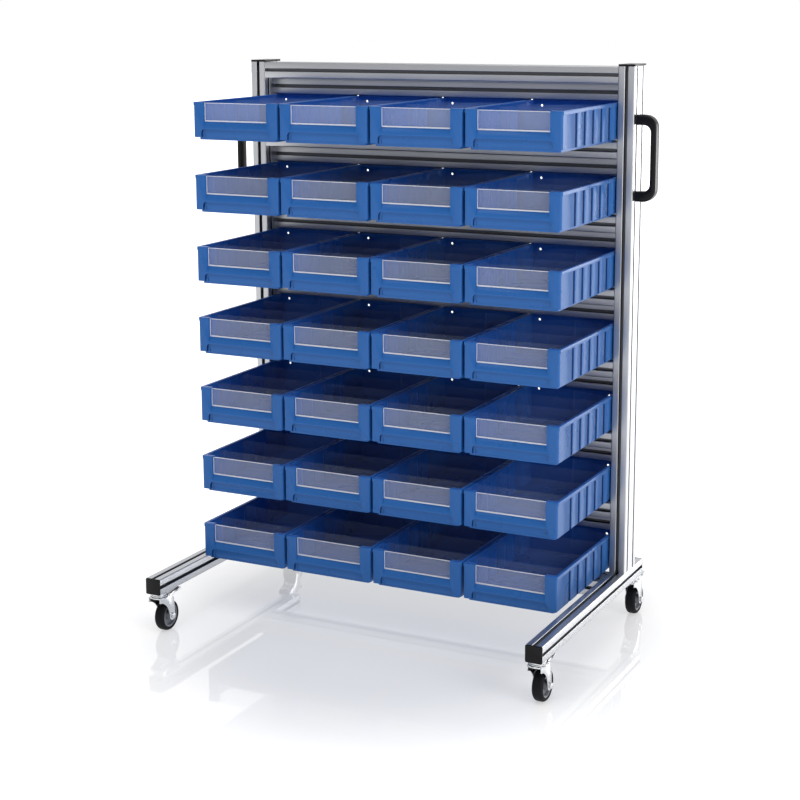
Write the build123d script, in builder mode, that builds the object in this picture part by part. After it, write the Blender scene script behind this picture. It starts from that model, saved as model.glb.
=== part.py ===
"""Bin trolley: a slotted-profile frame on four braked castors that carries rows of pull-out shelf bins.

Millimetres, +Z up, the bins' fronts face -Y. The origin is on the floor under the middle of the whole trolley.
"""

import os

from build123d import *

os.makedirs("parts", exist_ok=True)

# Slotted aluminium profile
PROFILE = 40.0
PROFILE_CHAMFER = 2.0
SLOT_MOUTH = 8.0
SLOT_LIP = 4.5
SLOT_INNER = 20.0
SLOT_FLOOR = 10.0
SLOT_DEPTH = 12.25
OVERRUN = 1.0

# Shelf bin
ROWS = 7
COLUMNS = 4
BIN_WIDTH = 234.0
BIN_LENGTH = 400.0
BIN_HEIGHT = 90.0
BIN_WALL = 2.5
BIN_RIM_HEIGHT = 8.0
BIN_RIM_STEP = 1.5
BIN_FOOT_INSET = 10.0
BIN_FOOT_HEIGHT = 6.5
PILLAR_WIDTH = 26.0
PILLAR_DEPTH = 11.0
PILLAR_CHAMFER = 7.0
SILL_BOTTOM = 28.0
SILL_TOP = 41.0
SILL_SETBACK = 7.0
GRIP_WIDTH = 150.0
GRIP_TOP = 22.0
GRIP_DEPTH = 8.0
GRIP_CHAMFER = 7.0
GROOVE_COUNT = 5
GROOVE_WIDTH = 8.0
GROOVE_PITCH = 53.0
GROOVE_FIRST = 82.0
GROOVE_DEPTH = 1.0
HANG_HOLE_WIDTH = 9.0
HANG_HOLE_HEIGHT = 7.0
HANG_HOLE_EDGE = 25.0
HANG_HOLE_DROP = 13.0

# Clear pane in the bin front and clear cross dividers in the bin
PANE_THICK = 2.0
PANE_FIT = 0.3
PANE_DROP = 1.5
DIVIDER_COUNT = 3
DIVIDER_FIRST = 75.0
DIVIDER_PITCH = 110.0
DIVIDER_THICK = 2.0
DIVIDER_DROP = 5.0
DIVIDER_FIT = 0.3

# How the bins sit in the frame
BIN_GAP = 3.0
BIN_END_GAP = 2.5
BIN_TOP_GAP = 2.5
RAIL_STAGGER = 1.5
BIN_SEAT = 62.0

# Frame
FOOT_FRONT = 531.0
FOOT_REAR = 136.0
END_CAP_THICK = 3.0
TOP_CAP_THICK = 5.0
TOP_CAP_PROUD = 0.5
CAP_TONGUE = 8.0
CAP_TONGUE_FIT = 0.3
BASE_BEAM_SETBACK = 5.0
SLOT_COVER_LENGTH = 75.0
SLOT_COVER_THICK = 3.0
SCREW_FLATS = 7.0
SCREW_HEAD = 4.0

# Bow handles
HANDLE_HEIGHT = 202.0
HANDLE_DROP = 110.0
HANDLE_REACH = 52.0
HANDLE_DEPTH = 28.0
HANDLE_GRIP = 14.0
HANDLE_LEG = 24.0
HANDLE_CORNER = 22.0
HANDLE_INNER_CORNER = 10.0

# Castors
CASTOR_HEIGHT = 105.0
KING_FRONT = 25.0
KING_REAR = 30.0
TRAIL = 30.0
WHEEL_RADIUS = 37.5
WHEEL_WIDTH = 26.0
TYRE_THICK = 9.0
RIM_WIDTH = 22.0
RIM_SIDES = 24
HUB_SIDES = 12
HUB_RADIUS = 11.0
HUB_WIDTH = 28.0
AXLE_RADIUS = 4.0
RUN_FIT = 0.05
FORK_SHEET = 2.5
FORK_INNER = 30.0
FORK_TOP_SHEET = 4.0
FORK_FRONT = 20.0
FORK_REAR = 24.0
FORK_SHOULDER = 14.0
FORK_BOSS = 11.0
SWIVEL_GAP = 0.3
RACE_HEIGHT = 9.0
RACE_RADIUS = 20.0
KING_RADIUS = 3.9
KING_HEAD_RADIUS = 8.0
KING_HEAD_HEIGHT = 4.0
KING_RISE = 9.0
AXLE_HEAD_FLATS = 13.0
AXLE_HEAD_HEIGHT = 4.5
PEDAL_REACH = 75.0
PEDAL_PIVOT_BACK = 18.0
PEDAL_PIVOT_DROP = 9.0
PEDAL_PIN_RADIUS = 3.0
PEDAL_WIDTH = 28.0
PEDAL_NECK = 20.0
PEDAL_THICK = 4.0
PEDAL_RISE = 8.8
PEDAL_LOBE = 18.0
PEDAL_EYE = 5.5
SHOE_LENGTH = 14.0
SHOE_GAP = 3.0

# Sizes that follow from those above
row_pitch = 2 * PROFILE + RAIL_STAGGER + BIN_HEIGHT + BIN_TOP_GAP
column_pitch = BIN_WIDTH + BIN_GAP
inner_width = COLUMNS * BIN_WIDTH + (COLUMNS - 1) * BIN_GAP + 2 * BIN_END_GAP
post_x = (inner_width + PROFILE) / 2
outer_x = inner_width / 2 + PROFILE
foot_bottom = CASTOR_HEIGHT
foot_top = foot_bottom + PROFILE
frame_top = foot_top + ROWS * row_pitch
rear_reach = FOOT_REAR - KING_REAR + PEDAL_REACH
post_front = (FOOT_FRONT - rear_reach) / 2
post_middle = post_front + PROFILE
front_rail_y = post_front + PROFILE / 2
rear_rail_y = post_front + 3 * PROFILE / 2
foot_front_y = post_front - FOOT_FRONT + END_CAP_THICK
foot_rear_y = post_front + FOOT_REAR - END_CAP_THICK
foot_length = foot_rear_y - foot_front_y
beam_y = post_front + BASE_BEAM_SETBACK - PROFILE
king_front_y = post_front - FOOT_FRONT + KING_FRONT
king_rear_y = post_front + FOOT_REAR - KING_REAR


def save(node: Compound, name: str) -> None:
    """Names a node and writes it as a STEP file."""
    node.label = name
    export_step(node, f"parts/{name}.step")


def profile_section(plane: Plane, cells_x: int, cells_y: int) -> Sketch:
    """Draws the slotted profile's section: a block of square cells with a T-slot in each outer cell side."""
    half_mouth = SLOT_MOUTH / 2
    half_inner = SLOT_INNER / 2
    half_floor = SLOT_FLOOR / 2
    slot = [
        (-half_mouth, OVERRUN),
        (half_mouth, OVERRUN),
        (half_mouth, -SLOT_LIP),
        (half_inner, -SLOT_LIP),
        (half_floor, -SLOT_DEPTH),
        (-half_floor, -SLOT_DEPTH),
        (-half_inner, -SLOT_LIP),
        (-half_mouth, -SLOT_LIP),
    ]
    half_x = cells_x * PROFILE / 2
    half_y = cells_y * PROFILE / 2
    places_x = [(i + 0.5) * PROFILE - half_x for i in range(cells_x)]
    places_y = [(i + 0.5) * PROFILE - half_y for i in range(cells_y)]
    with BuildSketch(plane) as section:
        Rectangle(2 * half_x, 2 * half_y)
        chamfer(section.vertices(), length=PROFILE_CHAMFER)
        with Locations(*[(x, half_y) for x in places_x]):
            Polygon(*slot, align=None, mode=Mode.SUBTRACT)
        with Locations(*[(x, -half_y) for x in places_x]):
            Polygon(*slot, rotation=180, align=None, mode=Mode.SUBTRACT)
        with Locations(*[(half_x, y) for y in places_y]):
            Polygon(*slot, rotation=-90, align=None, mode=Mode.SUBTRACT)
        with Locations(*[(-half_x, y) for y in places_y]):
            Polygon(*slot, rotation=90, align=None, mode=Mode.SUBTRACT)
    return section.sketch


def along_x(y: float, z: float) -> Plane:
    """A plane across +X at the inner face of the left post."""
    return Plane(origin=(-inner_width / 2, y, z), x_dir=(0, 1, 0), z_dir=(1, 0, 0))


# Posts, feet and cross members of the frame
for side, name in ((-1, "left"), (1, "right")):
    post_plane = Plane(origin=(side * post_x, post_middle, foot_top))
    with BuildPart() as post:
        extrude(profile_section(post_plane, 1, 2), amount=frame_top - foot_top)
    save(post.part, f"upright_{name}")

    foot_start = (side * post_x, foot_front_y, foot_top - PROFILE / 2)
    foot_plane = Plane(origin=foot_start, x_dir=(-1, 0, 0), z_dir=(0, 1, 0))
    with BuildPart() as foot:
        extrude(profile_section(foot_plane, 1, 1), amount=foot_length)
    save(foot.part, f"foot_{name}")

with BuildPart() as front_rails:
    for row in range(ROWS):
        front_rail_z = frame_top - row * row_pitch - PROFILE / 2
        extrude(profile_section(along_x(front_rail_y, front_rail_z), 1, 1), amount=inner_width)
save(front_rails.part, "front_rails")

with BuildPart() as rear_rails:
    for row in range(ROWS):
        rear_rail_z = frame_top - row * row_pitch - 3 * PROFILE / 2 - RAIL_STAGGER
        extrude(profile_section(along_x(rear_rail_y, rear_rail_z), 1, 1), amount=inner_width)
save(rear_rails.part, "rear_rails")

with BuildPart() as base_beam:
    extrude(profile_section(along_x(beam_y, foot_top - PROFILE / 2), 2, 1), amount=inner_width)
save(base_beam.part, "base_beam")

# Black caps on the open profile ends, and cover strips in the feet's slots
with BuildPart() as end_caps:
    tongue = CAP_TONGUE - 2 * CAP_TONGUE_FIT
    for side in (-1, 1):
        with BuildSketch(Plane(origin=(side * post_x, post_middle, frame_top))):
            Rectangle(PROFILE + 2 * TOP_CAP_PROUD, 2 * (PROFILE + TOP_CAP_PROUD))
        extrude(amount=TOP_CAP_THICK)
        chamfer(end_caps.faces().filter_by(Axis.Z).sort_by(Axis.Z)[-1].edges(), length=PROFILE_CHAMFER)
        for end_y, turn in ((foot_front_y, -1), (foot_rear_y, 1)):
            with BuildSketch(
                Plane(origin=(side * post_x, end_y, foot_top - PROFILE / 2), x_dir=(1, 0, 0), z_dir=(0, turn, 0))
            ):
                Rectangle(PROFILE, PROFILE)
            extrude(amount=END_CAP_THICK)
        with BuildSketch(
            Plane(origin=(side * post_x, post_front - SLOT_COVER_LENGTH / 2, foot_top - SLOT_COVER_THICK))
        ):
            Rectangle(tongue, SLOT_COVER_LENGTH)
        extrude(amount=SLOT_COVER_THICK)
save(end_caps.part, "end_caps")

# Screws that draw the cross members against the posts and feet, seen in the outer slots
with BuildPart() as frame_screws:
    seat_x = outer_x - SLOT_DEPTH
    places = []
    for row in range(ROWS):
        front_z = frame_top - row * row_pitch - PROFILE / 2
        places.append((front_rail_y, front_z))
        places.append((rear_rail_y, front_z - PROFILE - RAIL_STAGGER))
    for offset in (-PROFILE / 2, PROFILE / 2):
        places.append((beam_y + offset, foot_top - PROFILE / 2))
    for side in (-1, 1):
        seat = Plane(origin=(side * seat_x, 0, 0), x_dir=(0, 1, 0), z_dir=(side, 0, 0))
        with BuildSketch(seat):
            with Locations(*[(y, side * z) for y, z in places]):
                RegularPolygon(SCREW_FLATS / 2, 6, major_radius=False)
        extrude(amount=SCREW_HEAD)
save(frame_screws.part, "frame_screws")

# Bow handles on the posts' outer faces
for side, name in ((-1, "left"), (1, "right")):
    bow_plane = Plane(
        origin=(side * outer_x, front_rail_y, frame_top - HANDLE_DROP - HANDLE_HEIGHT / 2),
        x_dir=(side, 0, 0),
        z_dir=(0, -side, 0),
    )
    with BuildPart() as handle:
        with BuildSketch(bow_plane) as bow:
            with Locations((HANDLE_REACH / 2, 0)):
                Rectangle(HANDLE_REACH, HANDLE_HEIGHT)
            fillet(bow.vertices().sort_by(Axis.X)[-2:], HANDLE_CORNER)
            with BuildSketch(mode=Mode.SUBTRACT) as gap:
                with Locations(((HANDLE_REACH - HANDLE_GRIP) / 2, 0)):
                    Rectangle(HANDLE_REACH - HANDLE_GRIP, HANDLE_HEIGHT - 2 * HANDLE_LEG)
                fillet(gap.vertices().sort_by(Axis.X)[-2:], HANDLE_INNER_CORNER)
        extrude(amount=HANDLE_DEPTH / 2, both=True)
    save(handle.part, f"handle_{name}")

# One bin about its own place: the front's middle, at the height that it rests on
wall_x = BIN_WIDTH / 2 - BIN_RIM_STEP
wall_y = BIN_LENGTH - BIN_RIM_STEP
rim_z = BIN_HEIGHT - BIN_RIM_HEIGHT
inside_x = wall_x - BIN_WALL
inside_back = wall_y - BIN_WALL
opening = BIN_WIDTH - 2 * PILLAR_WIDTH
floor_z = BIN_FOOT_HEIGHT + BIN_WALL
foot_x = BIN_WIDTH / 2 - BIN_FOOT_INSET

with BuildPart() as tray:
    # body below the rim, the wider rim, both with broken front corners, and the narrower base under them
    with BuildSketch(Plane.XY.offset(BIN_FOOT_HEIGHT)) as body:
        with Locations((0, wall_y / 2)):
            Rectangle(2 * wall_x, wall_y)
        chamfer(body.vertices().group_by(Axis.Y)[0], length=PILLAR_CHAMFER)
    extrude(amount=rim_z - BIN_FOOT_HEIGHT)
    with BuildSketch(Plane.XY.offset(rim_z)) as rim_band:
        with Locations((0, BIN_LENGTH / 2)):
            Rectangle(BIN_WIDTH, BIN_LENGTH)
        chamfer(rim_band.vertices().group_by(Axis.Y)[0], length=PILLAR_CHAMFER)
    extrude(amount=BIN_RIM_HEIGHT)
    with BuildSketch(Plane.XY):
        with Locations((0, (BIN_FOOT_INSET + wall_y) / 2)):
            Rectangle(2 * foot_x, wall_y - BIN_FOOT_INSET)
    extrude(amount=BIN_FOOT_HEIGHT)
    # the hollow inside and the shallower one in the base
    with BuildSketch(Plane.XY.offset(floor_z)):
        with Locations((0, (PILLAR_DEPTH + inside_back) / 2)):
            Rectangle(2 * inside_x, inside_back - PILLAR_DEPTH)
    extrude(amount=BIN_HEIGHT, mode=Mode.SUBTRACT)
    # the front cut-out over a sloping sill
    with BuildSketch(Plane.YZ.offset(-opening / 2)):
        Polygon(
            (-OVERRUN, SILL_BOTTOM),
            (0, SILL_BOTTOM),
            (SILL_SETBACK, SILL_TOP),
            (PILLAR_DEPTH + OVERRUN, SILL_TOP),
            (PILLAR_DEPTH + OVERRUN, BIN_HEIGHT + OVERRUN),
            (-OVERRUN, BIN_HEIGHT + OVERRUN),
            align=None,
        )
    extrude(amount=opening, mode=Mode.SUBTRACT)
    # finger grip under the front
    with BuildSketch(Plane.XZ) as grip:
        with Locations((0, GRIP_TOP / 2)):
            Rectangle(GRIP_WIDTH, GRIP_TOP)
        chamfer(grip.vertices().group_by(Axis.Y)[-1], length=GRIP_CHAMFER)
    extrude(amount=-GRIP_DEPTH, mode=Mode.SUBTRACT)
    # grooves between the side panels
    with BuildSketch(Plane.XY.offset(BIN_FOOT_HEIGHT)):
        for side in (-1, 1):
            for i in range(GROOVE_COUNT):
                with Locations((side * wall_x, GROOVE_FIRST + i * GROOVE_PITCH)):
                    Polygon(
                        (side * OVERRUN, -GROOVE_WIDTH / 2),
                        (0, -GROOVE_WIDTH / 2),
                        (-side * GROOVE_DEPTH, 0),
                        (0, GROOVE_WIDTH / 2),
                        (side * OVERRUN, GROOVE_WIDTH / 2),
                        align=None,
                    )
    extrude(amount=rim_z - BIN_FOOT_HEIGHT, mode=Mode.SUBTRACT)
    # hanging holes in the back wall
    with BuildSketch(Plane.XZ.offset(-BIN_LENGTH - OVERRUN)):
        for side in (-1, 1):
            with Locations((side * (BIN_WIDTH / 2 - HANG_HOLE_EDGE), BIN_HEIGHT - HANG_HOLE_DROP)):
                Rectangle(HANG_HOLE_WIDTH, HANG_HOLE_HEIGHT)
    extrude(amount=2 * OVERRUN + BIN_RIM_STEP + BIN_WALL, mode=Mode.SUBTRACT)

pane_bottom = SILL_TOP
pane_top = BIN_HEIGHT - PANE_DROP
with BuildPart() as pane:
    with BuildSketch(Plane.XZ.offset(-SILL_SETBACK)):
        with Locations((0, (pane_bottom + pane_top) / 2)):
            Rectangle(opening - 2 * PANE_FIT, pane_top - pane_bottom)
    extrude(amount=-PANE_THICK)

divider_top = BIN_HEIGHT - DIVIDER_DROP
with BuildPart() as dividers:
    for i in range(DIVIDER_COUNT):
        with BuildSketch(Plane.XY.offset(floor_z)):
            with Locations((0, DIVIDER_FIRST + i * DIVIDER_PITCH)):
                Rectangle(2 * (inside_x - DIVIDER_FIT), DIVIDER_THICK)
        extrude(amount=divider_top - floor_z)

bin_front_y = post_front + BIN_SEAT - BIN_LENGTH
for row in range(ROWS):
    rest_z = frame_top - (row + 1) * row_pitch
    for column in range(COLUMNS):
        middle_x = (column - (COLUMNS - 1) / 2) * column_pitch
        pieces = [*tray.solids(), *pane.solids(), *dividers.solids()]
        place = Location((middle_x, bin_front_y, rest_z))
        shelf_bin = Compound(children=[piece.moved(place) for piece in pieces])
        save(shelf_bin, f"bin_r{row + 1}_c{column + 1}")

# One castor about its own place: the king bolt's axis, on the floor, trailing towards +Y
fork_top = CASTOR_HEIGHT - RACE_HEIGHT - SWIVEL_GAP
fork_under = fork_top - FORK_TOP_SHEET
fork_half = FORK_INNER / 2 + FORK_SHEET
axle_z = WHEEL_RADIUS
pivot_y = PEDAL_PIVOT_BACK
pivot_z = fork_under - PEDAL_PIVOT_DROP
axle_line = Plane(origin=(0, TRAIL, axle_z), x_dir=(0, 1, 0), z_dir=(1, 0, 0))
pivot_line = Plane(origin=(0, pivot_y, pivot_z), x_dir=(0, 1, 0), z_dir=(1, 0, 0))

with BuildPart() as fork:
    with BuildSketch(Plane.YZ):
        with BuildLine():
            Polyline(
                (TRAIL - FORK_BOSS, axle_z),
                (-FORK_FRONT, fork_top - FORK_SHOULDER),
                (-FORK_FRONT, fork_top),
                (FORK_REAR, fork_top),
                (TRAIL + FORK_BOSS, fork_top - FORK_SHOULDER),
                (TRAIL + FORK_BOSS, axle_z),
                (TRAIL + FORK_BOSS / 2, axle_z - FORK_BOSS),
                (TRAIL - FORK_BOSS / 2, axle_z - FORK_BOSS),
                close=True,
            )
        make_face()
    extrude(amount=fork_half, both=True)
    with BuildSketch(Plane.XY.offset(fork_under)):
        Rectangle(FORK_INNER, 2 * (TRAIL + WHEEL_RADIUS))
    extrude(amount=-fork_under, mode=Mode.SUBTRACT)
    with BuildSketch(Plane.XY.offset(fork_under)):
        Circle(KING_RADIUS + RUN_FIT)
    extrude(amount=FORK_TOP_SHEET, mode=Mode.SUBTRACT)
    with BuildSketch(axle_line):
        Circle(AXLE_RADIUS)
    extrude(amount=fork_half, both=True, mode=Mode.SUBTRACT)
    with BuildSketch(pivot_line):
        Circle(PEDAL_PIN_RADIUS + RUN_FIT)
    extrude(amount=fork_half, both=True, mode=Mode.SUBTRACT)

with BuildPart() as king_bolt:
    with BuildSketch(Plane.XY.offset(CASTOR_HEIGHT - RACE_HEIGHT)):
        RegularPolygon(RACE_RADIUS, RIM_SIDES)
    extrude(amount=RACE_HEIGHT)
    with BuildSketch(Plane.XY.offset(fork_under - SWIVEL_GAP)):
        Circle(KING_RADIUS)
    extrude(amount=CASTOR_HEIGHT + KING_RISE - fork_under + SWIVEL_GAP)
    with BuildSketch(Plane.XY.offset(fork_under - SWIVEL_GAP)):
        RegularPolygon(KING_HEAD_RADIUS, 6)
    extrude(amount=-KING_HEAD_HEIGHT)

tyre_inner = WHEEL_RADIUS - TYRE_THICK
with BuildPart() as tyre:
    with BuildSketch(axle_line):
        Circle(WHEEL_RADIUS)
        RegularPolygon(tyre_inner, RIM_SIDES, mode=Mode.SUBTRACT)
    extrude(amount=WHEEL_WIDTH / 2, both=True)

# The rim's seat is many-sided, which keeps the tyre from slipping round it
with BuildPart() as rim:
    with BuildSketch(axle_line):
        RegularPolygon(tyre_inner, RIM_SIDES)
    extrude(amount=RIM_WIDTH / 2, both=True)
    with BuildSketch(axle_line):
        RegularPolygon(HUB_RADIUS, HUB_SIDES)
    extrude(amount=HUB_WIDTH / 2, both=True)
    with BuildSketch(axle_line):
        Circle(AXLE_RADIUS + RUN_FIT)
    extrude(amount=HUB_WIDTH / 2, both=True, mode=Mode.SUBTRACT)

with BuildPart() as axle:
    with BuildSketch(axle_line):
        Circle(AXLE_RADIUS)
    extrude(amount=fork_half, both=True)
    for turn in (-1, 1):
        with BuildSketch(axle_line.offset(turn * fork_half)):
            RegularPolygon(AXLE_HEAD_FLATS / 2, 6, major_radius=False)
        extrude(amount=turn * AXLE_HEAD_HEIGHT)

# The pedal turns on its pin; its blade rises to the tip and a shoe under it comes down on the tyre
blade_z = pivot_z + PEDAL_EYE
tip_z = blade_z + PEDAL_RISE
lobe_z = tip_z - PEDAL_RISE * PEDAL_LOBE / (PEDAL_REACH - pivot_y)
shoe_z = 2 * WHEEL_RADIUS + SHOE_GAP
with BuildPart() as pedal:
    with BuildSketch(Plane.YZ):
        Polygon(
            (pivot_y - PEDAL_EYE, shoe_z),
            (pivot_y - PEDAL_EYE, pivot_z),
            (pivot_y, blade_z),
            (PEDAL_REACH, tip_z),
            (PEDAL_REACH, tip_z - PEDAL_THICK),
            (pivot_y + SHOE_LENGTH, blade_z - PEDAL_THICK),
            (pivot_y + SHOE_LENGTH, shoe_z),
            align=None,
        )
    extrude(amount=PEDAL_NECK / 2, both=True)
    with BuildSketch(Plane.YZ):
        Polygon(
            (PEDAL_REACH - PEDAL_LOBE, lobe_z),
            (PEDAL_REACH - PEDAL_LOBE, lobe_z - PEDAL_THICK),
            (PEDAL_REACH, tip_z - PEDAL_THICK),
            (PEDAL_REACH, tip_z),
            align=None,
        )
    extrude(amount=PEDAL_WIDTH / 2, both=True)
    with BuildSketch(pivot_line):
        Circle(PEDAL_PIN_RADIUS)
    extrude(amount=fork_half, both=True)

king_bolts = []
for side, side_name in ((-1, "left"), (1, "right")):
    for king_y, end_name in ((king_front_y, "front"), (king_rear_y, "rear")):
        place = Location((side * post_x, king_y, 0))
        corner = f"{end_name}_{side_name}"
        save(fork.part.moved(place), f"castor_fork_{corner}")
        save(tyre.part.moved(place), f"castor_tyre_{corner}")
        save(rim.part.moved(place), f"castor_rim_{corner}")
        save(axle.part.moved(place), f"castor_axle_{corner}")
        save(pedal.part.moved(place), f"brake_pedal_{corner}")
        king_bolts += [solid.moved(place) for solid in king_bolt.solids()]
save(Compound(children=king_bolts), "castor_king_bolts")
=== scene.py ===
"""Dresses the bin trolley: slotted-profile frame, braked castors, bow handles and bins with clear panes."""
import logging
import math
from dataclasses import dataclass
from enum import Enum
from typing import Iterable, Sequence

import bmesh
import bpy
from mathutils import Matrix, Vector


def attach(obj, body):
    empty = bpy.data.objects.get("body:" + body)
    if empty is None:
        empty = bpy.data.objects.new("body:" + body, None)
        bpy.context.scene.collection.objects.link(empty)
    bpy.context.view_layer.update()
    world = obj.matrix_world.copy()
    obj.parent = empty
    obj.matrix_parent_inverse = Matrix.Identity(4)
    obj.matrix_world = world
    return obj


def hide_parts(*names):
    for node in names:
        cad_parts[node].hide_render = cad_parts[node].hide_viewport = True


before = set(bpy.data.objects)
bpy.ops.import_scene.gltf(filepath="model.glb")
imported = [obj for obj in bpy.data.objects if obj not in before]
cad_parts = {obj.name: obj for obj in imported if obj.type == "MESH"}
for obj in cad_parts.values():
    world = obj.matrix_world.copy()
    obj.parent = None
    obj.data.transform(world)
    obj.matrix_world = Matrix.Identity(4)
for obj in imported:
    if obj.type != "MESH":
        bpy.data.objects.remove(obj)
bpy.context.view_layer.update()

log = logging.getLogger("bin_trolley")

Point2 = tuple[float, float]
Point3 = tuple[float, float, float]
Solid = bmesh.types.BMesh
Mesh = bpy.types.Mesh
Obj = bpy.types.Object
Material = bpy.types.Material
Tree = bpy.types.NodeTree
Node = bpy.types.Node


class Along(Enum):
    """The direction that an outline is drawn out in, with its axis's number."""

    X = 0
    Y = 1
    Z = 2


# Sizes shared by several sub-assemblies, in millimetres

MM = 0.001
PROFILE = 40.0
SLOT_DEPTH = 12.2
ROWS = 7
COLUMNS = 4
ROW_PITCH = 174.0
COLUMN_PITCH = 237.0
INNER_WIDTH = 950.0
POST_X = 495.0
OUTER_X = POST_X + PROFILE / 2
POST_FRONT = 175.0
FOOT_BOTTOM = 105.0
FOOT_TOP = FOOT_BOTTOM + PROFILE
FOOT_MIDDLE = FOOT_BOTTOM + PROFILE / 2
FRAME_TOP = FOOT_TOP + ROWS * ROW_PITCH
FOOT_AHEAD = 528.0
FOOT_BEHIND = 133.0
KING_AHEAD = 506.0
KING_BEHIND = 106.0
RAIL_STAGGER = 1.5
BEAM_SETBACK = 5.0

FOOT_FRONT_Y = POST_FRONT - FOOT_AHEAD
FOOT_REAR_Y = POST_FRONT + FOOT_BEHIND
FRONT_RAIL_Y = POST_FRONT + PROFILE / 2
REAR_RAIL_Y = POST_FRONT + 3 * PROFILE / 2
FRONT_RAIL_Z = FRAME_TOP - PROFILE / 2
REAR_RAIL_Z = FRONT_RAIL_Z - PROFILE - RAIL_STAGGER
BEAM_Y = POST_FRONT + BEAM_SETBACK - PROFILE
KING_Y = {"front": POST_FRONT - KING_AHEAD, "rear": POST_FRONT + KING_BEHIND}
SIDES = {"left": -1.0, "right": 1.0}


# Mesh helpers


def at(along: Along, a: float, b: float, t: float) -> Point3:
    """A point from its place across a direction and along it."""
    return ((t, a, b), (a, t, b), (a, b, t))[along.value]


def prism(outline: Sequence[Point2], along: Along, start: float, end: float) -> Solid:
    """Draws a closed outline out into a solid.

    Args:
        outline: Corner points in the plane across the direction, as (y, z), (x, z) or (x, y).
        along: The direction to draw the outline out in.
        start: Where the solid starts.
        end: Where the solid ends.

    Returns:
        A closed mesh in millimetres.
    """
    bm = bmesh.new()
    low = [bm.verts.new(at(along, a, b, start)) for a, b in outline]
    high = [bm.verts.new(at(along, a, b, end)) for a, b in outline]
    bm.faces.new(low)
    bm.faces.new(high)
    count = len(outline)
    for i in range(count):
        j = (i + 1) % count
        bm.faces.new((low[i], low[j], high[j], high[i]))
    bmesh.ops.recalc_face_normals(bm, faces=bm.faces)
    return bm


def lathe(section: Sequence[Point2], along: Along, centre: Point3, steps: int) -> Solid:
    """Turns a section round an axis.

    Args:
        section: Points as (distance from the axis, place along it), closed on itself.
        along: The axis's direction.
        centre: A point on the axis, where the place along it is zero.
        steps: How many flats the turn has.

    Returns:
        A closed mesh in millimetres.
    """
    tiny = 1e-6
    bm = bmesh.new()
    rings = []
    for i in range(steps):
        turn = 2 * math.pi * i / steps
        c, s = math.cos(turn), math.sin(turn)
        points = [at(along, r * c, r * s, t) for r, t in section]
        rings.append([bm.verts.new([a + b for a, b in zip(centre, point)]) for point in points])
    count = len(section)
    for i in range(steps):
        a, b = rings[i], rings[(i + 1) % steps]
        for j in range(count):
            k = (j + 1) % count
            if max(section[j][0], section[k][0]) >= tiny:
                bm.faces.new((a[j], a[k], b[k], b[j]))
    bmesh.ops.remove_doubles(bm, verts=bm.verts, dist=10 * tiny)
    bmesh.ops.dissolve_degenerate(bm, dist=tiny, edges=bm.edges)
    bmesh.ops.recalc_face_normals(bm, faces=bm.faces)
    return bm


def pin(radius: float, half: float, centre: Point3, steps: int) -> Solid:
    """A round pin along X, by its radius and half its length."""
    return lathe([(0.0, -half), (radius, -half), (radius, half), (0.0, half)], Along.X, centre, steps)


def arc(centre: Point2, radius: float, start_deg: float, end_deg: float, steps: int) -> list[Point2]:
    """Points along an arc.

    Args:
        centre: The arc's centre.
        radius: Its radius.
        start_deg: The angle where it starts.
        end_deg: The angle where it ends.
        steps: How many chords it has.

    Returns:
        The points from start to end.
    """
    out = []
    for i in range(steps + 1):
        a = math.radians(start_deg + (end_deg - start_deg) * i / steps)
        out.append((centre[0] + radius * math.cos(a), centre[1] + radius * math.sin(a)))
    return out


def rounded_box(low: Point2, high: Point2, radii: Sequence[float], steps: int = 5) -> list[Point2]:
    """A rectangle with rounded corners.

    Args:
        low: The lowest corner.
        high: The highest corner.
        radii: Corner radii, from the lowest corner round against the clock.
        steps: Chords in each corner.

    Returns:
        The outline's points.
    """
    (x0, y0), (x1, y1) = low, high
    r0, r1, r2, r3 = radii
    out: list[Point2] = []
    corners = (
        (x0, y0, r0, 1, 1, 180),
        (x1, y0, r1, -1, 1, 270),
        (x1, y1, r2, -1, -1, 0),
        (x0, y1, r3, 1, -1, 90),
    )
    for x, y, r, dx, dy, start in corners:
        if r <= 0:
            out.append((x, y))
        else:
            out += arc((x + dx * r, y + dy * r), r, start, start + 90, steps)
    return out


def rectangle(low: Point2, high: Point2) -> list[Point2]:
    """A rectangle with sharp corners."""
    return rounded_box(low, high, [0.0] * 4)


def both_sides(section: Sequence[Point2]) -> list[Point2]:
    """Half a turned section with its mirror image, as one closed section."""
    return list(section) + [(r, -t) for r, t in reversed(section)]


def join(meshes: Iterable[Solid]) -> Solid:
    """Puts several closed meshes into one, each still a shell of its own.

    Args:
        meshes: The meshes to put together, which are freed.

    Returns:
        The joint mesh.
    """
    whole = bmesh.new()
    for bm in meshes:
        part = bpy.data.meshes.new("part")
        bm.to_mesh(part)
        bm.free()
        whole.from_mesh(part)
        bpy.data.meshes.remove(part)
    return whole


def link(name: str, mesh: Mesh) -> Obj:
    """Makes an object of a mesh and puts it in the scene.

    Args:
        name: The object's name.
        mesh: Its mesh.

    Returns:
        The object.
    """
    obj = bpy.data.objects.new(name, mesh)
    bpy.context.scene.collection.objects.link(obj)
    return obj


def new_object(bm: Solid, name: str) -> Obj:
    """Makes an object of a mesh that is in millimetres.

    Args:
        bm: The mesh, which is freed.
        name: The object's name.

    Returns:
        The object, in metres.
    """
    bmesh.ops.scale(bm, vec=(MM, MM, MM), verts=bm.verts)
    mesh = bpy.data.meshes.new(name)
    bm.to_mesh(mesh)
    bm.free()
    return link(name, mesh)


def drop(obj: Obj) -> None:
    """Removes an object that is no longer needed, with its mesh.

    Args:
        obj: The object.
    """
    mesh = obj.data
    bpy.data.objects.remove(obj)
    bpy.data.meshes.remove(mesh)


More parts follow.
